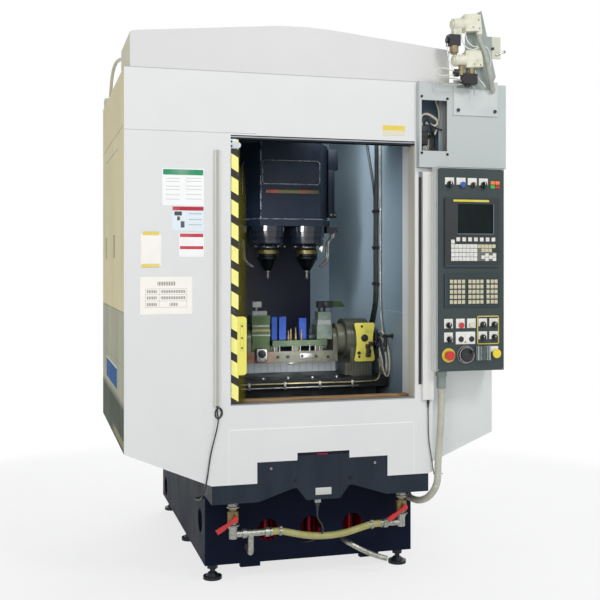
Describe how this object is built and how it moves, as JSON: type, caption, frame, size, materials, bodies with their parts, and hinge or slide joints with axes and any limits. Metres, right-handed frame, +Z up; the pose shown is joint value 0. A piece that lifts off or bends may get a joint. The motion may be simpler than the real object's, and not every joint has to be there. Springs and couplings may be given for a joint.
{
  "type": "valve finishing machine",
  "caption": "Guarded vertical machine with a travelling column, twin spindles over a tilting fixture, a sliding door and a hung operator panel.",
  "frame": {"origin": "on the floor, under the middle of the machine's width and depth, roof cable left out", "axes": "+Z up, the loading opening faces -Y, the operator panel is on the +X side"},
  "size_m": [1.71, 1.75, 2.542],
  "materials": {
    "casting_paint": "semi-gloss dark navy paint on castings",
    "machined_dark": "dark semi-gloss paint with oil film",
    "fixture_steel": "oiled machined steel",
    "tool_steel": "ground steel, dark oiled",
    "tray_paint": "dark semi-gloss paint on sheet",
    "guard_white": "fine orange-peel white powder coat",
    "guard_beige": "fine orange-peel beige-white powder coat",
    "liner_paint": "slate-blue satin paint with oil film",
    "rail_metal": "anodised extrusion",
    "warning_yellow": "yellow and black film and paint",
    "curtain_cover": "satin pale grey",
    "panel_face": "fine textured dark grey-green",
    "panel_plastic": "matte moulded plastic",
    "black_plastic": "matte black moulded plastic",
    "blue_plastic": "gloss blue",
    "red_plastic": "gloss red",
    "white_plastic": "gloss white",
    "yellow_plastic": "gloss yellow",
    "clear_plastic": "clear moulded cover",
    "pipe_metal": "brass and galvanised fittings",
    "lever_red": "red dipped vinyl on steel",
    "hose_yellow": "aged yellow hose",
    "conduit_grey": "matte beige-grey conduit",
    "cable_black": "black cable jacket",
    "cable_cream": "cream cable jacket",
    "valve_cream": "cream moulded and painted blocks"
  },
  "bodies": {
    "machine": {"bed_casting": "casting_paint", "levelling_feet": "machined_dark", "fixture_base": "machined_dark", "rotary_unit": "machined_dark", "rotary_cover": "warning_yellow", "chip_tray": "tray_paint", "front_panel": "guard_white", "front_lower_panel": "guard_white", "roof_hood": "guard_white", "left_side_panel": "guard_beige", "right_side_panel": "guard_white", "rear_cabinet": "guard_beige", "work_liner": "liner_paint", "service_box": "guard_white", "door_rails": "rail_metal", "light_curtain": "curtain_cover", "control_box": "panel_face", "display_unit": "panel_plastic", "wash_pipework": "pipe_metal", "wash_hose": "hose_yellow", "panel_conduit": "conduit_grey", "sensor_cable": "cable_black", "clipped_cables": "cable_black", "roof_cable": "cable_cream", "air_bracket": "valve_cream", "air_valves": "valve_cream"},
    "saddle": {"saddle": "casting_paint"},
    "column": {"column": "casting_paint"},
    "head": {"spindle_head": "machined_dark", "head_cover": "machined_dark", "spindle_housings": "machined_dark", "coolant_pipes": "machined_dark"},
    "spindle_left": {"spindle_left": "tool_steel"},
    "spindle_right": {"spindle_right": "tool_steel"},
    "cradle": {"cradle": "fixture_steel", "work_clamps": "fixture_steel"},
    "door": {"door_panel": "guard_white", "door_grip": "warning_yellow"},
    "door_trailing": {"door_trailing_panel": "guard_white"},
    "cabinet_door": {"cabinet_door": "guard_beige"},
    "side_door_front": {"side_door_front": "guard_beige"},
    "side_door_rear": {"side_door_rear": "guard_beige"},
    "mode_knob": {"mode_knob": "black_plastic"},
    "ready_button": {"ready_button": "blue_plastic"},
    "key_switch": {"key_switch": "black_plastic"},
    "lamp_knob": {"lamp_knob": "black_plastic"},
    "upper_selector": {"upper_selector": "black_plastic"},
    "lower_selector": {"lower_selector": "black_plastic"},
    "stop_button": {"stop_button": "red_plastic"},
    "start_button": {"start_button": "white_plastic"},
    "override_knob_1": {"override_knob_1": "black_plastic"},
    "override_knob_2": {"override_knob_2": "black_plastic"},
    "override_knob_3": {"override_knob_3": "black_plastic"},
    "override_knob_4": {"override_knob_4": "black_plastic"},
    "emergency_stop": {"emergency_stop": "red_plastic"},
    "handwheel": {"handwheel": "black_plastic"},
    "guard_flap": {"guard_flap": "clear_plastic"},
    "release_button": {"release_button": "yellow_plastic"},
    "valve_lever_left": {"valve_lever_left": "lever_red"},
    "valve_lever_right": {"valve_lever_right": "lever_red"}
  },
  "joints": [
    {"name": "saddle_y", "type": "slide", "parent": "machine", "child": "saddle", "axis": [0, 1, 0], "range_m": [-0.06, 0.03]},
    {"name": "column_x", "type": "slide", "parent": "saddle", "child": "column", "axis": [1, 0, 0], "range_m": [-0.15, 0.15]},
    {"name": "head_z", "type": "slide", "parent": "column", "child": "head", "axis": [0, 0, 1], "range_m": [-0.09, 0.19]},
    {"name": "spindle_left_spin", "type": "hinge", "parent": "head", "child": "spindle_left", "pos_m": [-0.1, -0.15, 1.45], "axis": [0, 0, -1], "continuous": true},
    {"name": "spindle_right_spin", "type": "hinge", "parent": "head", "child": "spindle_right", "pos_m": [0.1, -0.15, 1.45], "axis": [0, 0, -1], "continuous": true},
    {"name": "cradle_tilt", "type": "hinge", "parent": "machine", "child": "cradle", "pos_m": [0, -0.26, 1.04], "axis": [1, 0, 0], "range_deg": [-30, 30]},
    {"name": "door_slide", "type": "slide", "parent": "machine", "child": "door", "axis": [1, 0, 0], "range_m": [0, 0.795]},
    {"name": "door_trailing_slide", "type": "slide", "parent": "machine", "child": "door_trailing", "axis": [1, 0, 0], "range_m": [0, 0.3975]},
    {"name": "side_door_front_hinge", "type": "hinge", "parent": "machine", "child": "side_door_front", "pos_m": [-0.855, -0.74, 1.59], "axis": [0, 0, 1], "range_deg": [0, 100]},
    {"name": "side_door_rear_hinge", "type": "hinge", "parent": "machine", "child": "side_door_rear", "pos_m": [-0.855, -0.18, 1.59], "axis": [0, 0, 1], "range_deg": [0, 100]},
    {"name": "cabinet_door_hinge", "type": "hinge", "parent": "machine", "child": "cabinet_door", "pos_m": [-0.698, 0.87, 1.36], "axis": [0, 0, 1], "range_deg": [0, 110]},
    {"name": "mode_knob_turn", "type": "hinge", "parent": "machine", "child": "mode_knob", "pos_m": [0.56, -0.84, 1.756], "axis": [0, -1, 0], "range_deg": [-45, 45]},
    {"name": "ready_button_push", "type": "slide", "parent": "machine", "child": "ready_button", "axis": [0, 1, 0], "range_m": [0, 0.004], "stiffness_N_per_m": 900},
    {"name": "key_switch_turn", "type": "hinge", "parent": "machine", "child": "key_switch", "pos_m": [0.673, -0.84, 1.756], "axis": [0, -1, 0], "range_deg": [0, 90]},
    {"name": "lamp_knob_turn", "type": "hinge", "parent": "machine", "child": "lamp_knob", "pos_m": [0.725, -0.84, 1.756], "axis": [0, -1, 0], "range_deg": [-45, 45]},
    {"name": "upper_selector_turn", "type": "hinge", "parent": "machine", "child": "upper_selector", "pos_m": [0.555, -0.84, 1.134], "axis": [0, -1, 0], "range_deg": [-45, 45]},
    {"name": "lower_selector_turn", "type": "hinge", "parent": "machine", "child": "lower_selector", "pos_m": [0.558, -0.84, 1.072], "axis": [0, -1, 0], "range_deg": [-45, 45]},
    {"name": "stop_button_push", "type": "slide", "parent": "machine", "child": "stop_button", "axis": [0, 1, 0], "range_m": [0, 0.004], "stiffness_N_per_m": 900},
    {"name": "start_button_push", "type": "slide", "parent": "machine", "child": "start_button", "axis": [0, 1, 0], "range_m": [0, 0.004], "stiffness_N_per_m": 900},
    {"name": "override_knob_1_turn", "type": "hinge", "parent": "machine", "child": "override_knob_1", "pos_m": [0.72, -0.84, 1.134], "axis": [0, -1, 0], "range_deg": [-135, 135]},
    {"name": "override_knob_2_turn", "type": "hinge", "parent": "machine", "child": "override_knob_2", "pos_m": [0.776, -0.84, 1.134], "axis": [0, -1, 0], "range_deg": [-135, 135]},
    {"name": "override_knob_3_turn", "type": "hinge", "parent": "machine", "child": "override_knob_3", "pos_m": [0.72, -0.84, 1.077], "axis": [0, -1, 0], "range_deg": [-135, 135]},
    {"name": "override_knob_4_turn", "type": "hinge", "parent": "machine", "child": "override_knob_4", "pos_m": [0.776, -0.84, 1.077], "axis": [0, -1, 0], "range_deg": [-135, 135]},
    {"name": "emergency_stop_push", "type": "slide", "parent": "machine", "child": "emergency_stop", "axis": [0, 1, 0], "range_m": [0, 0.005], "stiffness_N_per_m": 2500},
    {"name": "handwheel_turn", "type": "hinge", "parent": "machine", "child": "handwheel", "pos_m": [0.638, -0.84, 1.002], "axis": [0, -1, 0], "continuous": true},
    {"name": "guard_flap_hinge", "type": "hinge", "parent": "machine", "child": "guard_flap", "pos_m": [0.718, -0.862, 1.04], "axis": [1, 0, 0], "range_deg": [-100, 0]},
    {"name": "release_button_push", "type": "slide", "parent": "machine", "child": "release_button", "axis": [0, 1, 0], "range_m": [0, 0.005], "stiffness_N_per_m": 900},
    {"name": "valve_lever_left_turn", "type": "hinge", "parent": "machine", "child": "valve_lever_left", "pos_m": [-0.385, -0.7, 0.32], "axis": [0, -1, 0], "range_deg": [0, 90]},
    {"name": "valve_lever_right_turn", "type": "hinge", "parent": "machine", "child": "valve_lever_right", "pos_m": [0.385, -0.7, 0.32], "axis": [0, -1, 0], "range_deg": [0, 90]}
  ],
  "couplings": [
    {"joint": "door_trailing_slide", "follows": "door_slide", "ratio": 0.5}
  ]
}
